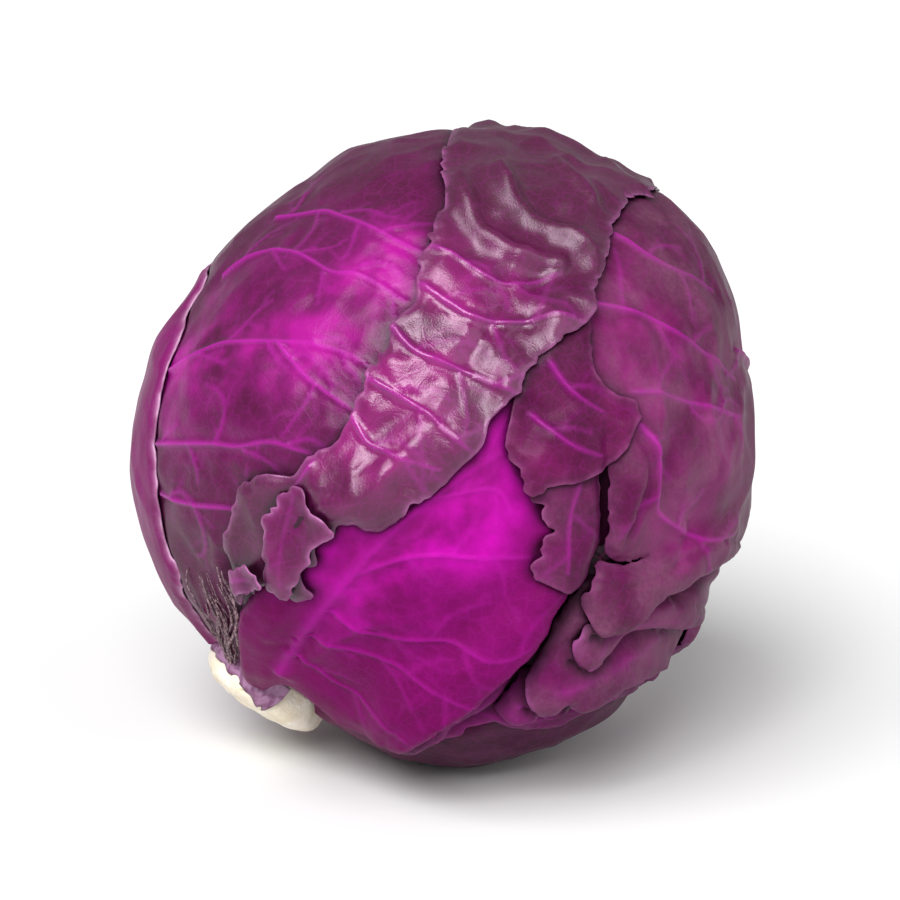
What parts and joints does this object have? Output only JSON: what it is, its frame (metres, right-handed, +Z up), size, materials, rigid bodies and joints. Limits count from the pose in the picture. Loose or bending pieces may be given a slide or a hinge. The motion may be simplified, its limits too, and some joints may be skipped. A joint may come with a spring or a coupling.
{
  "type": "red cabbage",
  "caption": "Whole red cabbage head lying on its side: a dense heart wrapped in separate, veined, torn-edged outer leaves, with a cut stem stub.",
  "frame": {"origin": "centre of the bounding box's bottom, on the surface that the head rests on", "axes": "+Z up; -Y faces the viewer of the front view; the cut stem points towards -X and down"},
  "size_m": [0.1567, 0.1574, 0.1581],
  "materials": {
    "inner_leaf": "matte red-purple leaf",
    "outer_leaf": "waxy purple leaf, softly glossy, with paler veins",
    "bright_leaf": "waxy magenta leaf with paler veins",
    "stem": "matte cream, freshly cut"
  },
  "bodies": {
    "root": {"heart": "inner_leaf", "leaf_back": "outer_leaf", "leaf_under": "outer_leaf", "leaf_left": "outer_leaf", "leaf_front": "bright_leaf", "flap_lower": "outer_leaf", "fold_low": "outer_leaf", "fold_middle": "outer_leaf", "leaf_right": "outer_leaf", "flap_centre": "outer_leaf", "leaf_far_left": "bright_leaf", "leaf_top": "outer_leaf", "stem": "stem"}
  },
  "joints": []
}
